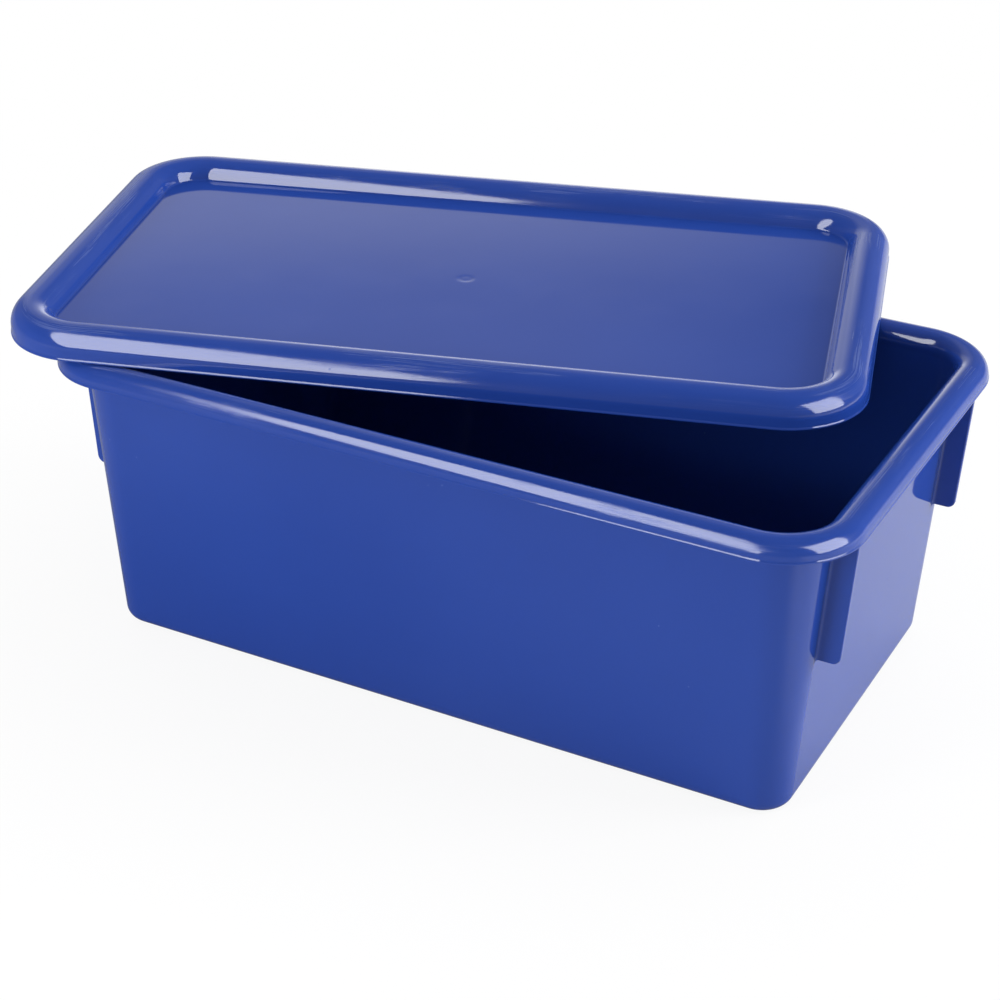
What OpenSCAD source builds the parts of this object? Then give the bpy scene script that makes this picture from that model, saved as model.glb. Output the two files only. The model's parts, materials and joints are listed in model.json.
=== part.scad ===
// Stackable storage bin with a lift-off lid, in millimetres.
// The tub and the lid are two thin mouldings. Each is one section swept round a rounded rectangle.
// A section is drawn in a plane: x runs inwards from the outer edge of the rim, y is height.
// The origin is the centre of the tub's flat base. +X is the tub's length and +Z is up.

/* [Tub] */
// Length over the rim
tub_l = 337; // [280:1:420]
// Width over the rim
tub_w = 198; // [160:1:260]
// Height from the base to the crest of the rim
tub_h = 127; // [100:1:180]
// Radius of the rim's outer corners, seen from above
corner_r = 32; // [31:0.5:40]
// Thickness of the walls and the rim
wall_t = 1.8; // [1.5:0.1:2.4]
// Thickness of the floor
floor_t = 2; // [1.5:0.1:3]
// How far each wall leans in between the rim and the base
wall_lean = 7.6; // [4:0.1:9]
// Outer radius of the edge between the walls and the base
base_edge_r = 5.5; // [4:0.1:6.5]

/* [Rim] */
// How far the rim stands out from the wall
rim_reach = 11.6; // [11.6:0.1:13]
// Height of the rim from its lip to its crest
rim_h = 8; // [7.5:0.1:10]
// Radius of the rim's two rounded shoulders
rim_r = 6.5; // [5:0.1:6.5]

/* [Fins] */
// How far a fin stands out from the end wall
fin_reach = 9; // [5:0.1:9]
// How far a fin hangs below the rim's lip
fin_drop = 54; // [20:1:60]
// Thickness of a fin
fin_t = 2; // [1.5:0.1:3]
// From the start of the tub's corner to the middle of a fin
fin_setback = 2; // [2:0.5:30]
// Radius of a fin's lower outer corner
fin_corner_r = 3; // [1:0.5:5]

/* [Lid] */
// Thickness of the lid
lid_t = 1.6; // [1.2:0.1:2.2]
// Clearance between the seated lid and the tub
lid_gap = 0.4; // [0.3:0.05:0.8]
// Height of the lid's bead from its skirt to its crest
lid_h = 12.4; // [10.8:0.1:15]
// Depth of the recessed panel below the crest
recess_d = 7.7; // [6:0.1:10]

/* [Lid place] */
// Where the lid is: lying askew on the rim, or closed
lid_place = "askew"; // [askew, closed]
// Sideways place of the askew lid's centre along the tub
askew_x = -45.5; // [-60:0.1:60]
// Place of the askew lid's centre across the tub
askew_y = 37.7; // [-45:0.1:45]
// Turn of the askew lid, seen from above
askew_turn = 16.3; // [-30:0.1:30]
// Space between the askew lid and the rim it lies on
rest_gap = 0.3; // [0.2:0.05:0.6]

/* [Hidden] */
$fn = 96;
plastic = [0.13, 0.22, 0.60];
cut = 1;                                          // overrun of a cutting shape
lap = 2;                                          // how far a middle plate laps over the swept floor

lip_z = tub_h - rim_h;
lean = wall_lean / lip_z;                         // inward lean per unit of depth
rim_w = rim_reach + wall_t;                       // outer edge of the rim to the wall's inner face

lid_over = lid_gap + lid_t;                       // overhang of the lid beyond the rim
lid_l = tub_l + 2 * lid_over;
lid_w = tub_w + 2 * lid_over;
lid_corner_r = corner_r + lid_over;
bead_w = rim_w + 2 * lid_over;                    // outer edge of the lid to its recess
bead_r = rim_r + lid_over;
seat_z = tub_h + lid_over - lid_h;                // height of the skirt's edge on a closed bin
panel_top = lid_h - recess_d;                     // in the lid's own frame, where the skirt's edge is at 0
panel_low = panel_top - lid_t;
askew_z = tub_h + rest_gap - min(0, panel_low);   // the panel or the skirt lies on the rim, whichever is lower

// A solid block from low to top, w wide, with two round shoulders
module bead_block(w, r, low, top) {
    translate([0, low]) square([w, top - r - low]);
    translate([r, low]) square([w - 2 * r, top - low]);
    intersection() {
        for (x = [r, w - r]) translate([x, top - r]) circle(r);
        translate([0, low]) square([w, top - low]);
    }
}

// A hollow bead with two legs: the outer ends at lip, the inner at leg
module bead_section(w, r, t, top, lip, leg) {
    low = min(lip, leg);
    difference() {
        bead_block(w, r, low, top);
        translate([t, 0]) bead_block(w - 2 * t, r - t, low - cut, top - t);
        translate([-cut, low - cut]) square([w / 2 + cut, lip - low + cut]);
        translate([w / 2, low - cut]) square([w / 2 + cut, leg - low + cut]);
    }
}

// Everything inside a wall that starts at edge, leans in below knee and rounds into a flat bottom
module basin_section(edge, top, knee, bottom, r, reach) {
    a = atan(lean);
    centre = [edge + lean * (knee - bottom - r) + r / cos(a), bottom + r];
    polygon([[edge, top], [edge, knee], centre - r * [cos(a), sin(a)], centre,
        [centre[0], bottom], [reach, bottom], [reach, top]]);
    intersection() {
        translate(centre) circle(r);
        translate([0, bottom]) square([reach, r]);
    }
}

module tub_wall_section() {
    difference() {
        basin_section(rim_reach, lip_z, lip_z, 0, base_edge_r, corner_r - lap / 2);
        basin_section(rim_w, lip_z + cut, lip_z, floor_t, base_edge_r - wall_t, corner_r);
    }
}

// The lid's bead, whose inner leg ends in the panel, and the outer part of the panel
module lid_section() {
    edge = bead_w - lid_t;
    bead_section(bead_w, bead_r, lid_t, lid_h, 0, panel_low);
    translate([edge, panel_low]) square([lid_corner_r - lap / 2 - edge, lid_t]);
}

// A fin follows the lean of the wall and ends inside the wall and the shell of the rim
module fin_section() {
    half_t = wall_t / 2;
    low = lip_z - fin_drop;
    difference() {
        intersection() {
            basin_section(rim_reach - fin_reach, tub_h, lip_z, low, fin_corner_r, corner_r);
            union() {
                translate([0, low]) square([corner_r, fin_drop]);
                translate([half_t, 0]) bead_block(rim_w - wall_t, rim_r - half_t, lip_z, tub_h - half_t);
            }
        }
        basin_section(rim_reach + half_t, tub_h, lip_z, 0, base_edge_r - half_t, corner_r + cut);
    }
}

// Sweeps a section round a rounded rectangle of size l by w with corners of radius r
module sweep_round(l, w, r) {
    for (k = [0 : 3]) {
        out = (k % 2 == 0 ? l : w) / 2 - r;
        run = (k % 2 == 0 ? w : l) - 2 * r;
        rotate(90 * k) translate([out, run / 2, 0]) {
            rotate([90, 0, 0]) linear_extrude(height = run) translate([r, 0]) mirror([1, 0]) children();
            rotate_extrude(angle = 90) translate([r, 0]) mirror([1, 0]) children();
        }
    }
}

// The flat middle of a floor or panel, which laps over the end of the swept part
module middle_plate(l, w, r, z, t) {
    inset = r - lap;
    translate([inset - l / 2, inset - w / 2, z]) cube([l - 2 * inset, w - 2 * inset, t]);
}

// Two fins on each end wall stop nested tubs from jamming
module fins() {
    fin_y = tub_w / 2 - corner_r - fin_setback;
    for (end = [0, 180], y = [-fin_y, fin_y])
        rotate(end) translate([tub_l / 2, y + fin_t / 2, 0])
            rotate([90, 0, 0]) linear_extrude(height = fin_t) mirror([1, 0]) fin_section();
}

module tub() {
    color(plastic) {
        sweep_round(tub_l, tub_w, corner_r) {
            union() {
                bead_section(rim_w, rim_r, wall_t, tub_h, lip_z, lip_z);
                tub_wall_section();
            }
        }
        middle_plate(tub_l, tub_w, corner_r, 0, floor_t);
        fins();
    }
}

module lid_shape() {
    sweep_round(lid_l, lid_w, lid_corner_r) lid_section();
    middle_plate(lid_l, lid_w, lid_corner_r, panel_low, lid_t);
}

module lid() {
    color(plastic) {
        if (lid_place == "askew")
            translate([askew_x, askew_y, askew_z]) rotate(askew_turn) lid_shape();
        else
            translate([0, 0, seat_z]) lid_shape();
    }
}

tub();
lid();
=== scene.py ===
"""The look of a stackable storage bin: a moulded tub with four hanging fins, and the lid that lies on it."""

import json
import math

import bmesh
import bpy
import numpy as np
from mathutils import Matrix, Quaternion, Vector


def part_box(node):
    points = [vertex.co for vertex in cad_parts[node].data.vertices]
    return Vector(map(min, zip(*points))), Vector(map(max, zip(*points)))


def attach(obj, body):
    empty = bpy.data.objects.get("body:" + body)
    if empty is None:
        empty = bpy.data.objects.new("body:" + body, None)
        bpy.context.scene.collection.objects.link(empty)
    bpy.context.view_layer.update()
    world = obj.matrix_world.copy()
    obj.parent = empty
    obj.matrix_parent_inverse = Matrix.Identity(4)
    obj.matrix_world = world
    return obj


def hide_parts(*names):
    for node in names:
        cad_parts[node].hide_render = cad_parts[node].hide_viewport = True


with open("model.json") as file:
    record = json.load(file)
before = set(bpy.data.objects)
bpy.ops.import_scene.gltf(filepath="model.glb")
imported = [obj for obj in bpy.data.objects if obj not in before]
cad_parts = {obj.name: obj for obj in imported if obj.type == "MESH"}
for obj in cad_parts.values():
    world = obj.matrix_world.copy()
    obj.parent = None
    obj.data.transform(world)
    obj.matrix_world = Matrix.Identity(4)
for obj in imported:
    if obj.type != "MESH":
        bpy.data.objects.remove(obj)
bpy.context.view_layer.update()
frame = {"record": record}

MM = 0.001

# ---------------------------------------------------------------- sizes, in millimetres

tub_low, tub_high = (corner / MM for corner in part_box("tub"))
panel_mount = next(m for m in frame["record"]["mounts"] if m["name"] == "lid_panel")

TUB_L = tub_high.x - tub_low.x
TUB_W = tub_high.y - tub_low.y
TUB_H = tub_high.z
CORNER_R = 32.0          # outer corner of the rim, seen from above
WALL_T = 1.8
FLOOR_T = 2.0
WALL_LEAN = 7.6          # inward lean of a wall, from the lip to the base
BASE_EDGE_R = 5.5
RIM_REACH = 11.6         # the rim stands out from the wall
RIM_H = 8.0
RIM_R = 6.5
LIP_Z = TUB_H - RIM_H
LEAN = WALL_LEAN / LIP_Z
LEAN_ANGLE = math.degrees(math.atan(LEAN))
RIM_W = RIM_REACH + WALL_T

FIN_T = 2.0
FIN_REACH = 9.0
FIN_DROP = 54.0
FIN_CORNER_R = 3.0
FIN_SETBACK = 2.0        # from the start of the tub's corner to the middle of a fin
FIN_Y = TUB_W / 2 - CORNER_R - FIN_SETBACK
FIN_EDGE_R = 0.5
FIN_ROOT_R = 1.2
FIN_SINK = 0.6           # a fin's root ends this far inside the tub's wall
FIN_TOP = TUB_H - 3.0    # its top ends inside the rim

LID_T = 1.6
LID_OVER = 2.0           # overhang of the seated lid beyond the rim
LID_L = TUB_L + 2 * LID_OVER
LID_W = TUB_W + 2 * LID_OVER
LID_R = CORNER_R + LID_OVER
LID_H = 12.4
BEAD_W = RIM_W + 2 * LID_OVER
BEAD_R = RIM_R + LID_OVER
RECESS_D = 7.7
FOOT_R = 1.0             # small fillet between the bead and the panel
UNDER_R = 1.1            # round edge under the panel's rim
PANEL_TOP = LID_H - RECESS_D
PANEL_LOW = PANEL_TOP - LID_T
LID_X, LID_Y, LID_PANEL_Z = (value / MM for value in panel_mount["pos_m"])
LID_Z = LID_PANEL_Z - PANEL_TOP
LID_TURN = 16.3          # degrees, seen from above

EDGE_R = 0.4             # round edge of a lip
LIP_BAND = 0.8           # height of the fine bead along a lip's edge
LIP_STEP = 0.25          # how far that bead stands proud of the skirt
GATE_R = 3.4             # injection mark in the middle of a floor or panel
GATE_DEPTH = 0.12
GATE_PROFILE = [         # shares of that radius and depth
    (1.4, 0), (1.2, 0.02), (1.05, 0.2), (0.9, 0.62), (0.75, 0.9), (0.6, 1), (0.4, 0.97), (0.2, 0.9)]
SUPPORT = 0.3            # distance of a supporting loop from a bend
MIDDLE_LAP = 3.0         # the swept floor or panel ends this far outside the middle of its bend
WEAR_DEPTH = 6.0         # below the crest of a rim or bead, where wear begins
WEAR_BLEND = 5.0         # height over which it reaches its full strength

# ---------------------------------------------------------------- sections


def arc(centre, radii, start, end, steps=12):
    """Points of an arc of a section, both ends included. Angles are in degrees."""
    rx, rz = radii if isinstance(radii, tuple) else (radii, radii)
    angles = [math.radians(start + (end - start) * k / steps) for k in range(steps + 1)]
    return [(centre[0] + rx * math.cos(a), centre[1] + rz * math.sin(a)) for a in angles]


def line(start, end, steps=1):
    """Points between two bends, ends left out: a supporting point by each end and even steps between."""
    start, end = np.array(start, float), np.array(end, float)
    length = np.linalg.norm(end - start)
    if length < 3 * SUPPORT:
        return []
    shares = [SUPPORT / length, *[k / steps for k in range(1, steps)], 1 - SUPPORT / length]
    return [tuple(start + (end - start) * share) for share in shares]


def joined(*stretches):
    """One section from stretches of points, with straight lines between them where they are apart."""
    points = list(stretches[0])
    for stretch in stretches[1:]:
        span = math.dist(points[-1], stretch[0])
        points += line(points[-1], stretch[0], max(1, round(span / 12)))
        points += [p for p in stretch if math.dist(p, points[-1]) > 1e-4]
    return points


def lip(z, thickness):
    """The edge of a skirt, from its inner face round to its outer face above the fine bead."""
    return joined(
        arc((thickness - EDGE_R, z + EDGE_R), EDGE_R, 0, -90, 5),
        arc((EDGE_R, z + EDGE_R), EDGE_R, -90, -180, 5),
        [(0, z + LIP_BAND), (LIP_STEP, z + LIP_BAND + LIP_STEP)],
    )


def shoulders(width, radius, top, outset, end=0.0):
    """The outside of a bead, from the top of its skirt over the crest and down its inner shoulder."""
    return joined(
        arc((radius, top - radius), (radius - outset, radius), 180, 90, 16),
        arc((width - radius, top - radius), radius, 90, end, 16),
    )


def channel(width, radius, thickness, top):
    """The inside of a bead, from the top of its inner leg over to the top of its skirt."""
    inner_r, roof = radius - thickness, top - radius
    return joined(
        arc((width - radius, roof), inner_r, 0, 90, 12),
        arc((radius, roof), inner_r, 90, 180, 12),
    )


def basin(edge, knee, bottom, radius):
    """The bend of a leaning wall into a flat bottom, from the wall down."""
    centre_x = edge + LEAN * (knee - bottom - radius) + radius / math.cos(math.radians(LEAN_ANGLE))
    return arc((centre_x, bottom + radius), radius, 180 + LEAN_ANGLE, 270, 12)


def tub_section():
    """The tub's whole section, from under its floor, up the outside, over the rim and down the inside."""
    return joined(
        [(CORNER_R - MIDDLE_LAP, 0)],
        basin(RIM_REACH, LIP_Z, 0, BASE_EDGE_R)[::-1],
        [(RIM_REACH, LIP_Z)],
        channel(RIM_W, RIM_R, WALL_T, TUB_H),
        lip(LIP_Z, WALL_T),
        shoulders(RIM_W, RIM_R, TUB_H, LIP_STEP),
        [(RIM_W, LIP_Z)],
        basin(RIM_W, LIP_Z, FLOOR_T, BASE_EDGE_R - WALL_T),
        [(CORNER_R - MIDDLE_LAP, FLOOR_T)],
    )


def lid_section():
    """The lid's whole section, from under its panel, through the channel, over the bead and onto the panel.
    The bead's inner shoulder and the fillet at its foot meet where both slope alike."""
    slope = math.acos((BEAD_R - RECESS_D + FOOT_R) / (BEAD_R + FOOT_R))
    foot_x = BEAD_W - BEAD_R + (BEAD_R + FOOT_R) * math.sin(slope)
    slope = math.degrees(slope)
    return joined(
        [(LID_R - MIDDLE_LAP, PANEL_LOW)],
        arc((BEAD_W - LID_T + UNDER_R, PANEL_LOW + UNDER_R), UNDER_R, 270, 180, 6),
        channel(BEAD_W, BEAD_R, LID_T, LID_H),
        lip(0, LID_T),
        shoulders(BEAD_W, BEAD_R, LID_H, LIP_STEP, 90 - slope),
        arc((foot_x, PANEL_TOP + FOOT_R), FOOT_R, 270 - slope, 270, 10),
        [(LID_R - MIDDLE_LAP, PANEL_TOP)],
    )


# ---------------------------------------------------------------- meshes


def stations(length, width, radius, corner_steps=24, run_step=12):
    """Places along a rounded rectangle: centre of the bend, outward direction and distance run along it."""
    half_x, half_y = length / 2 - radius, width / 2 - radius
    corners = [(half_x, half_y), (-half_x, half_y), (-half_x, -half_y), (half_x, -half_y)]
    bend = radius * math.radians(90)
    places = []
    run = 0.0
    for k, base in enumerate(corners):
        for step in range(corner_steps + 1):
            angle = math.radians(90 * (k + step / corner_steps))
            places.append((*base, math.cos(angle), math.sin(angle), run + bend * step / corner_steps))
        run += bend
        after = corners[(k + 1) % 4]
        span = math.dist(base, after)
        for point in line((0, 0), (span, 0), round(span / run_step)):
            share = point[0] / span
            x = base[0] + (after[0] - base[0]) * share
            y = base[1] + (after[1] - base[1]) * share
            places.append((x, y, math.cos(angle), math.sin(angle), run + point[0]))
        run += span
    return np.array(places), run


def swept_rings(section, places, radius):
    """Rings of points: the section carried round the rounded rectangle."""
    rings = np.zeros((len(section), len(places), 3))
    for ring, (inset, z) in zip(rings, section):
        ring[:, 0] = places[:, 0] + places[:, 2] * (radius - inset)
        ring[:, 1] = places[:, 1] + places[:, 3] * (radius - inset)
        ring[:, 2] = z
    return rings


def middle_rings(edge_ring, side):
    """Rings that close a flat middle and end in the round injection mark; side is 1 above and -1 below."""
    angle = np.arctan2(edge_ring[:, 1], edge_ring[:, 0])
    circle = np.stack([np.cos(angle), np.sin(angle)], 1)
    z = edge_ring[0, 2]
    rings = []
    for share in (0.12, 0.3, 0.5, 0.7, 0.85, 0.94, 1.0):
        ring = edge_ring.copy()
        ring[:, :2] = edge_ring[:, :2] * (1 - share) + circle * (2 * GATE_R) * share
        rings.append(ring)
    for reach, depth in GATE_PROFILE:
        ring = edge_ring.copy()
        ring[:, :2] = circle * GATE_R * reach
        ring[:, 2] = z - side * GATE_DEPTH * depth
        rings.append(ring)
    return rings


def ring_mesh(name, rings, runs, total, wear):
    """A closed mesh from rings of points, each joined to the next, with both ends closed by a fan.
    Its UV map runs in metres along the rings and across them, and wear is one number per ring."""
    rings = np.array(rings)
    count, size, _ = rings.shape
    points = rings.reshape(-1, 3)
    first_centre, last_centre = len(points), len(points) + 1
    points = np.vstack([points, rings[0].mean(0), rings[-1].mean(0)])
    across = np.concatenate([[0], np.cumsum(np.linalg.norm(np.diff(rings[:, 0], axis=0), axis=1))])
    along = np.append(runs, total)
    faces, corners = [], []
    for i in range(count - 1):
        for j in range(size):
            k = (j + 1) % size
            faces.append((i * size + j, i * size + k, (i + 1) * size + k, (i + 1) * size + j))
            corners += [(along[j], across[i]), (along[j + 1], across[i]),
                        (along[j + 1], across[i + 1]), (along[j], across[i + 1])]
    for centre, row in ((first_centre, 0), (last_centre, count - 1)):
        for j in range(size):
            k = (j + 1) % size
            faces.append((centre, row * size + j, row * size + k))
            corners += [(along[j], across[row])] * 3
    mesh = bpy.data.meshes.new(name)
    mesh.from_pydata((points * MM).tolist(), [], faces)
    uv = mesh.uv_layers.new(name="UVMap")
    uv.data.foreach_set("uv", (np.array(corners) * MM).astype(np.float32).ravel())
    worn = mesh.attributes.new("wear", "FLOAT", "POINT")
    worn.data.foreach_set("value", np.append(np.repeat(wear, size), [0, 0]).astype(np.float32))
    return mesh


def finished_piece(name, mesh, body):
    """Puts a mesh in the scene, smooth and with its faces turned outwards, riding on a body."""
    bm = bmesh.new()
    bm.from_mesh(mesh)
    bmesh.ops.recalc_face_normals(bm, faces=bm.faces)
    bm.to_mesh(mesh)
    bm.free()
    mesh.shade_smooth()
    piece = bpy.data.objects.new(name, mesh)
    bpy.context.scene.collection.objects.link(piece)
    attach(piece, body)
    return piece


def moulding(name, section, length, width, radius, crest):
    """A thin moulding: a section swept round, with a flat middle closed above and below."""
    places, total = stations(length, width, radius)
    swept = swept_rings(section, places, radius)
    rings = [*middle_rings(swept[0], -1)[::-1], *swept, *middle_rings(swept[-1], 1)]
    z = np.array([ring[:, 2].mean() for ring in rings])
    wear = np.clip((z - crest + WEAR_DEPTH) / WEAR_BLEND, 0, 1)
    return ring_mesh(name, rings, places[:, 4], total, wear)


def tub_piece():
    mesh = moulding("tub_shell", tub_section(), TUB_L, TUB_W, CORNER_R, TUB_H)
    piece = finished_piece("tub_shell", mesh, "tub")
    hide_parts("tub")
    return piece


def lid_piece():
    mesh = moulding("lid_shell", lid_section(), LID_L, LID_W, LID_R, LID_H)
    turn = Matrix.Rotation(math.radians(LID_TURN), 4, "Z")
    mesh.transform(Matrix.Translation(Vector((LID_X, LID_Y, LID_Z)) * MM) @ turn)
    piece = finished_piece("lid_shell", mesh, "lid")
    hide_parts("lid")
    return piece


# ---------------------------------------------------------------- fins


def fin_outline_depth(reach, up):
    """Distance inside a fin's outline: its outer edge, its lower edge and the round corner between them."""
    out, low = FIN_REACH - reach, up
    if out < FIN_CORNER_R and low < FIN_CORNER_R:
        return FIN_CORNER_R - math.hypot(FIN_CORNER_R - out, FIN_CORNER_R - low)
    return min(out, low)


def fin_half_thickness(reach, depth):
    """Half the fin's thickness: thinner by its round edge, thicker in the fillet where it meets the wall."""
    half = FIN_T / 2
    if depth < FIN_EDGE_R:
        half -= FIN_EDGE_R - math.sqrt(max(0, FIN_EDGE_R ** 2 - (FIN_EDGE_R - max(depth, 0)) ** 2))
    root = min(max(reach, 0), FIN_ROOT_R)
    return half + FIN_ROOT_R - math.sqrt(FIN_ROOT_R ** 2 - (FIN_ROOT_R - root) ** 2)


def fin_columns():
    """Distances from the wall at which a fin's columns of points stand."""
    root = [FIN_ROOT_R * (1 - math.cos(math.radians(90 * k / 8))) for k in range(9)]
    edge = [FIN_REACH - FIN_EDGE_R * (1 - math.sin(math.radians(90 * k / 6))) for k in range(7)]
    return [-FIN_SINK, *root, *np.linspace(FIN_ROOT_R + 1, FIN_REACH - FIN_EDGE_R - 0.3, 14), *edge]


def fin_lower_edge(reach):
    """How far a column's lower end stands above the fin's lowest line, dipping into the fillet at the wall."""
    if reach > FIN_REACH - FIN_CORNER_R:
        inside = FIN_CORNER_R - (FIN_REACH - reach)
        return FIN_CORNER_R - math.sqrt(max(0, FIN_CORNER_R ** 2 - inside ** 2))
    root = min(max(reach, 0), FIN_ROOT_R)
    return math.sqrt(FIN_ROOT_R ** 2 - (FIN_ROOT_R - root) ** 2) - FIN_ROOT_R


def fin_mesh(name, end, side):
    """A fin on one end wall: a grid of points on each face, joined along its edges."""
    low, top = LIP_Z - FIN_DROP, FIN_TOP
    steps = [FIN_EDGE_R * (1 - math.cos(math.radians(90 * k / 6))) for k in range(7)]
    columns = fin_columns()
    faces_of_points = []
    for cheek in (1, -1):
        grid = []
        for reach in columns:
            foot = fin_lower_edge(reach)
            height = top - low - foot
            column = []
            for up in [*steps, *(FIN_EDGE_R + (height - FIN_EDGE_R) * (k / 24) ** 1.5 for k in range(1, 25))]:
                depth = fin_outline_depth(reach, foot + up) if reach > FIN_ROOT_R else up
                z = low + foot + up
                wall_x = TUB_L / 2 - RIM_REACH - LEAN * max(LIP_Z - z, 0)
                y = FIN_Y * side + cheek * fin_half_thickness(reach, depth)
                column.append(((wall_x + reach) * end, y, z))
            grid.append(column)
        faces_of_points.append(np.array(grid))
    across, up_count = len(columns), len(steps) + 24
    points = np.vstack([grid.reshape(-1, 3) for grid in faces_of_points])
    offset = across * up_count
    faces = []
    for sheet in (0, offset):
        for i in range(across - 1):
            for j in range(up_count - 1):
                a = sheet + i * up_count + j
                faces.append((a, a + 1, a + up_count + 1, a + up_count))
    border = [i * up_count for i in range(across)]
    border += [(across - 1) * up_count + j for j in range(1, up_count)]
    border += [i * up_count + up_count - 1 for i in range(across - 2, -1, -1)]
    border += [j for j in range(up_count - 2, 0, -1)]
    for a, b in zip(border, border[1:] + border[:1]):
        faces.append((a, b, b + offset, a + offset))
    mesh = bpy.data.meshes.new(name)
    mesh.from_pydata((points * MM).tolist(), [], faces)
    uv = mesh.uv_layers.new(name="UVMap")
    for loop in mesh.loops:
        uv.data[loop.index].uv = mesh.vertices[loop.vertex_index].co.yz
    mesh.attributes.new("wear", "FLOAT", "POINT")
    return mesh


def fin_pieces():
    pieces = []
    for end, end_name in ((1, "right"), (-1, "left")):
        for side, side_name in ((-1, "front"), (1, "back")):
            name = f"fin_{end_name}_{side_name}"
            pieces.append(finished_piece(name, fin_mesh(name, end, side), "tub"))
    return pieces


# ---------------------------------------------------------------- the plastic


class Nodes:
    """Short calls that add and join the nodes of one material or world."""

    def __init__(self, tree):
        self.tree = tree
        tree.nodes.clear()

    def add(self, kind, inputs=None, **settings):
        node = self.tree.nodes.new(kind)
        for name, value in settings.items():
            setattr(node, name, value)
        for name, value in (inputs or {}).items():
            if isinstance(value, bpy.types.NodeSocket):
                self.tree.links.new(value, node.inputs[name])
            else:
                node.inputs[name].default_value = value
        return node

    def math(self, operation, a, b=0.0, clamp=False):
        return self.add("ShaderNodeMath", {0: a, 1: b}, operation=operation, use_clamp=clamp).outputs[0]

    def ramp(self, value, low, high, to_low=0.0, to_high=1.0):
        """A smooth step from to_low to to_high as value goes from low to high."""
        inputs = {"Value": value, "From Min": low, "From Max": high, "To Min": to_low, "To Max": to_high}
        return self.add("ShaderNodeMapRange", inputs, interpolation_type="SMOOTHSTEP").outputs["Result"]

    def blend(self, share, first, second):
        """The first colour where share is 0 and the second where it is 1."""
        return self.add("ShaderNodeMix", {"Factor": share, 6: first, 7: second}, data_type="RGBA").outputs[2]

    def noise(self, vector, scale, detail=2.0, roughness=0.5):
        inputs = {"Vector": vector, "Scale": scale, "Detail": detail, "Roughness": roughness}
        return self.add("ShaderNodeTexNoise", inputs).outputs["Fac"]

    def stretched(self, vector, scale):
        return self.add("ShaderNodeMapping", {"Vector": vector, "Scale": scale}).outputs["Vector"]

    def vector(self, operation, a, b=None, output="Vector"):
        inputs = {0: a} if b is None else {0: a, 1: b}
        return self.add("ShaderNodeVectorMath", inputs, operation=operation).outputs[output]

    def mirrored(self, path):
        """1 for a ray that comes off a glossy surface or through a clear one, and 0 for any other."""
        return self.math("MAXIMUM", path["Is Glossy Ray"], path["Is Transmission Ray"])


DEEP_BLUE = (0.0140, 0.0455, 0.262, 1)
CLOUDY_BLUE = (0.0155, 0.0495, 0.278, 1)
PALE_BLUE = (0.28, 0.40, 0.75, 1)    # dust nibs and scuffs
GLOSS = 0.05                         # roughness of clean, unworn plastic


def plastic_material():
    """Glossy moulded polypropylene, deep blue, with dust nibs and a scuffed rim."""
    material = bpy.data.materials.new("blue_plastic")
    material.use_nodes = True
    n = Nodes(material.node_tree)
    place = n.add("ShaderNodeTexCoord").outputs["Object"]
    uv = n.add("ShaderNodeUVMap", uv_map="UVMap").outputs["UV"]
    wear = n.add("ShaderNodeAttribute", attribute_name="wear").outputs["Fac"]

    cells = n.add("ShaderNodeTexVoronoi", {"Vector": place, "Scale": 150.0, "Randomness": 1.0})
    draw = n.add("ShaderNodeSeparateColor", {"Color": cells.outputs["Color"]}).outputs[0]
    chosen = n.math("GREATER_THAN", draw, 0.8)
    dots = n.ramp(cells.outputs["Distance"], 0.025, 0.06, 1.0, 0.0)
    patches = n.ramp(n.noise(place, 14.0), 0.5, 0.62)
    nibs = n.math("MULTIPLY", n.math("MULTIPLY", dots, chosen), patches)

    grain = n.noise(n.stretched(uv, (26.0, 2600.0, 1.0)), 1.0, 3.0, 0.65)
    rubs = n.noise(n.stretched(uv, (11.0, 130.0, 1.0)), 1.0, 3.0, 0.6)
    scuffs = n.math("MULTIPLY", n.ramp(grain, 0.48, 0.62), n.ramp(rubs, 0.5, 0.66))
    scuffs = n.math("MULTIPLY", scuffs, wear)

    pale = n.math("ADD", n.math("MULTIPLY", nibs, 0.22), n.math("MULTIPLY", scuffs, 0.12), clamp=True)
    cloud = n.ramp(n.noise(place, 9.0, 3.0), 0.3, 0.7)
    colour = n.blend(pale, n.blend(cloud, DEEP_BLUE, CLOUDY_BLUE), PALE_BLUE)

    smear = n.ramp(n.noise(place, 34.0, 4.0, 0.6), 0.35, 0.75, 0.0, 0.04)
    dulled = n.math("MULTIPLY", wear, n.ramp(rubs, 0.35, 0.7, 0.04, 0.13))
    rough = n.math("ADD", n.math("ADD", smear, GLOSS), n.math("MULTIPLY", scuffs, 0.3))
    rough = n.math("ADD", rough, dulled)
    rough = n.math("ADD", rough, n.math("MULTIPLY", nibs, 0.2), clamp=True)

    peel = n.noise(place, 55.0, 1.0)
    relief = n.math("ADD", n.math("MULTIPLY", peel, 0.12), n.math("MULTIPLY", nibs, 0.5))
    relief = n.math("SUBTRACT", relief, n.math("MULTIPLY", scuffs, 0.22))
    bump = n.add("ShaderNodeBump", {"Height": relief, "Strength": 0.3, "Distance": 0.0003})

    plastic = n.add("ShaderNodeBsdfPrincipled", {
        "Base Color": colour, "Roughness": rough, "Normal": bump.outputs[0], "IOR": 1.54})
    n.add("ShaderNodeOutputMaterial", {"Surface": plastic.outputs[0]})
    return material


# ---------------------------------------------------------------- the studio

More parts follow.
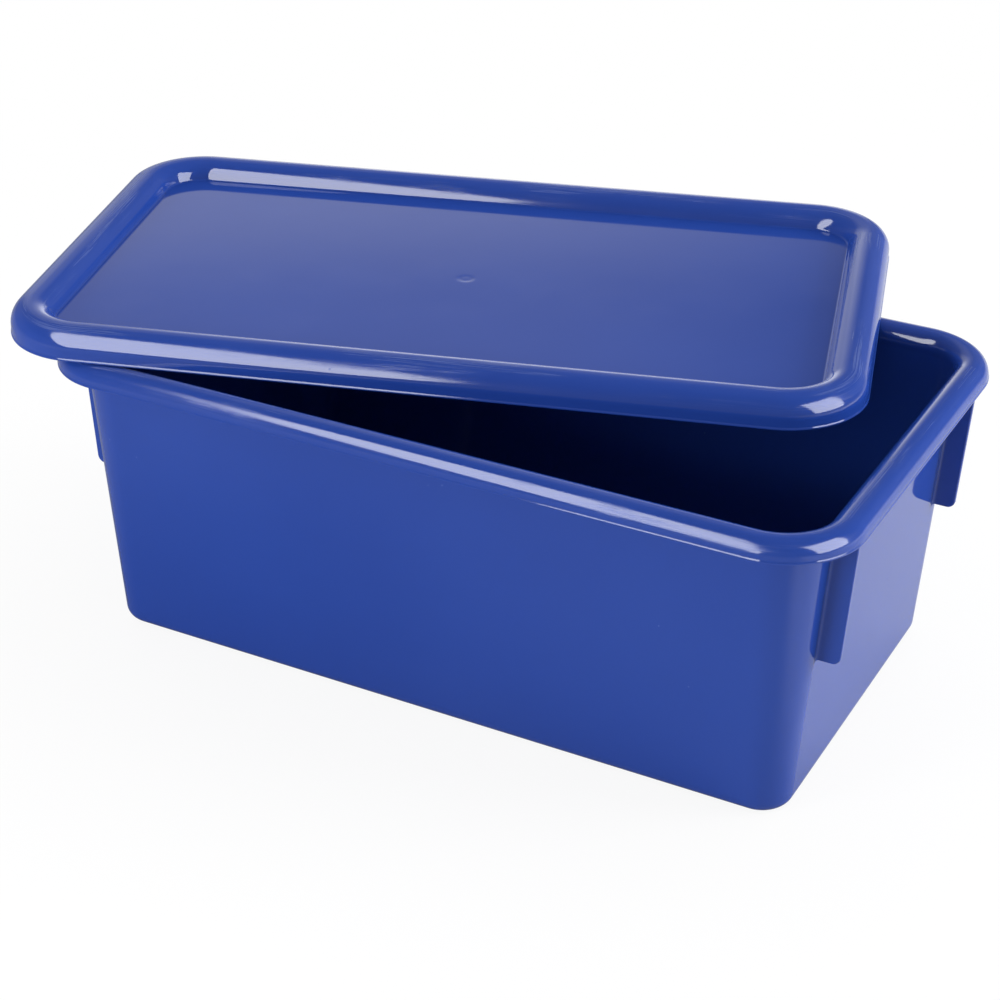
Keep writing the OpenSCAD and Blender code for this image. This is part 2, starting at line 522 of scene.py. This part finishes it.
STUDIO_FLOOR = 40.0      # metres across
FLOOR_TONE = 0.8
KEY_GLEAM = 32.0         # watts; a gleam shows in reflections only
SIDE_GLEAM = 32.0
KEY_SOFT = 14.5          # soft light reaches matt surfaces only
SIDE_SOFT = 17.5
AMBIENT = (0.5, 1.7)     # light that matt surfaces get from the room in front and from the room behind
PAINTED_SHADE_SPOT = (-0.13, -0.08, 0.0)        # painted shade: the spot by the object's foot where the floor's tone in reflections is painted darkest
DIMMEST = 0.13           # the room's least strength in reflections
BACKDROP = (-0.588, 0.809, 0.0)    # where the pale wall stands, seen from the object
DOORWAY = (-0.407, 0.914, 0.0)     # the brightest, lowest part of that wall


def studio_floor():
    """A wide pale floor. The camera sees it white with a faint shadow, and reflections see it much dimmer,
    with painted shade by the object's foot and painted light towards the right and back.
    """
    mesh = bpy.data.meshes.new("studio_floor")
    half = STUDIO_FLOOR / 2
    corners = [(-half, -half, 0), (half, -half, 0), (half, half, 0), (-half, half, 0)]
    mesh.from_pydata(corners, [], [(0, 1, 2, 3)])
    floor = bpy.data.objects.new("studio_floor", mesh)
    bpy.context.scene.collection.objects.link(floor)
    material = bpy.data.materials.new("studio_floor")
    material.use_nodes = True
    n = Nodes(material.node_tree)
    path = n.add("ShaderNodeLightPath").outputs
    place = n.add("ShaderNodeTexCoord").outputs["Object"]
    away = n.vector("LENGTH", place, output="Value")
    direct = n.math("MULTIPLY", path["Is Camera Ray"], n.ramp(away, 0.3, 0.8, 0.9, 1.0))
    mirrored = n.mirrored(path)
    # painted shade: in reflections the floor's tone is painted darker within about 0.17 m of the spot by the
    # object's foot, in place of its shadow
    from_painted_shade = n.vector("DISTANCE", place, PAINTED_SHADE_SPOT, "Value")
    # painted light: in reflections the floor's tone is painted lighter towards the right and back
    corner = n.vector("DOT_PRODUCT", place, (1, 1, 0), "Value")
    dim = n.math("MULTIPLY", n.ramp(from_painted_shade, 0.03, 0.17, 0.35, 1.0), n.ramp(corner, 0.05, 0.15, 0.24, 0.6))
    dim = n.math("MAXIMUM", dim, n.math("MULTIPLY", n.math("SUBTRACT", 1.0, mirrored), FLOOR_TONE))
    matt = n.add("ShaderNodeBsdfDiffuse", {"Color": dim}).outputs[0]
    white = n.add("ShaderNodeEmission", {"Color": (1, 1, 1, 1), "Strength": 1.0}).outputs[0]
    glow = n.math("MAXIMUM", direct, n.math("MULTIPLY", mirrored, 0.1))
    mixed = n.add("ShaderNodeMixShader", {0: glow, 1: matt, 2: white}).outputs[0]
    n.add("ShaderNodeOutputMaterial", {"Surface": mixed})
    mesh.materials.append(material)


def softbox(name, centre, size, strength, gleam, shape="RECTANGLE", roll=0.0):
    """A lamp facing the middle of the object, turned by roll degrees about that line.
    A gleam is seen in reflections only, and any other lamp lights matt surfaces only."""
    data = bpy.data.lights.new(name, "AREA")
    data.shape = shape
    data.size, data.size_y = size
    data.energy = strength
    lamp = bpy.data.objects.new(name, data)
    bpy.context.scene.collection.objects.link(lamp)
    lamp.location = centre
    aim = (Vector((0, 0, 0.1)) - Vector(centre)).to_track_quat("-Z", "Y")
    lamp.rotation_euler = (aim @ Quaternion((0, 0, 1), math.radians(roll))).to_euler()
    lamp.visible_camera = False
    lamp.visible_diffuse = not gleam
    lamp.visible_glossy = gleam


def lamps():
    """A tall oval gleam leaning at the left front, a square one on the right, and the soft light of each."""
    softbox("key_gleam", (-0.393, -1.21, 0.895), (0.75, 2.10), KEY_GLEAM, True, "ELLIPSE", 33.0)
    softbox("side_gleam", (1.27, -0.07, 0.75), (1.07, 1.24), SIDE_GLEAM, True)
    softbox("key_soft", (-0.734, -1.27, 0.41), (0.6, 0.6), KEY_SOFT, False)
    softbox("side_soft", (1.343, 0.543, 0.49), (0.7, 0.7), SIDE_SOFT, False)


def room():
    """The room: white to the camera, and plain soft light on matt surfaces. Reflections see a pale wall
    behind, falling off upwards and sideways, and a dim room elsewhere."""
    world = bpy.data.worlds.new("room")
    bpy.context.scene.world = world
    world.use_nodes = True
    n = Nodes(world.node_tree)
    direction = n.add("ShaderNodeTexCoord").outputs["Generated"]
    split = n.add("ShaderNodeSeparateXYZ", {0: direction}).outputs
    depth, height = split["Y"], split["Z"]
    level = n.vector("NORMALIZE", n.vector("MULTIPLY", direction, (1, 1, 0)))
    backdrop = n.vector("DOT_PRODUCT", level, BACKDROP, "Value")
    doorway = n.vector("DOT_PRODUCT", level, DOORWAY, "Value")
    wall = n.math("MULTIPLY", n.ramp(height, 0.37, 0.41, 0.8, 0.45), n.ramp(height, 0.6, 0.85, 1.0, 0.35))
    wall = n.math("MULTIPLY", wall, n.ramp(backdrop, 0.93, 1.0, 0.25, 1.0))
    low = n.math("MULTIPLY", n.ramp(height, 0.1, 0.36, 1.3, 0.0), n.ramp(doorway, 0.975, 0.995))
    strength = n.math("MAXIMUM", n.math("ADD", wall, low), DIMMEST)
    path = n.add("ShaderNodeLightPath").outputs
    mirrored = n.mirrored(path)
    around = n.math("MULTIPLY", n.math("SUBTRACT", 1.0, mirrored), n.ramp(depth, -0.3, 0.5, *AMBIENT))
    strength = n.math("ADD", n.math("MULTIPLY", strength, mirrored), around)
    strength = n.math("MAXIMUM", strength, path["Is Camera Ray"])
    light = n.add("ShaderNodeBackground", {"Color": (1, 1, 1, 1), "Strength": strength}).outputs[0]
    n.add("ShaderNodeOutputWorld", {"Surface": light})


# ---------------------------------------------------------------- the camera

VIEW_AZIMUTH = 27.67     # degrees to the right of straight in front
VIEW_ELEVATION = 29.211
VIEW_ROLL = 0.355
VIEW_DISTANCE = 927.84
VIEW_TARGET = Vector((-4.96, -7.99, 60.0))
LENS = 82.04


def camera():
    data = bpy.data.cameras.new("camera")
    data.sensor_width = 36.0
    data.lens = LENS
    data.clip_end = 100.0
    view = bpy.data.objects.new("camera", data)
    bpy.context.scene.collection.objects.link(view)
    azimuth, elevation = math.radians(VIEW_AZIMUTH), math.radians(VIEW_ELEVATION)
    level = math.cos(elevation)
    back = Vector((math.sin(azimuth) * level, -math.cos(azimuth) * level, math.sin(elevation)))
    aim = back.to_track_quat("Z", "Y").to_matrix().to_4x4()
    roll = Matrix.Rotation(math.radians(VIEW_ROLL), 4, "Z")
    view.matrix_world = Matrix.Translation((VIEW_TARGET + back * VIEW_DISTANCE) * MM) @ aim @ roll
    bpy.context.scene.camera = view


# ---------------------------------------------------------------- the scene

bpy.context.scene.view_settings.view_transform = "Standard"
plastic = plastic_material()
for piece in [tub_piece(), lid_piece(), *fin_pieces()]:
    piece.data.materials.append(plastic)

studio_floor()
lamps()
room()
camera()
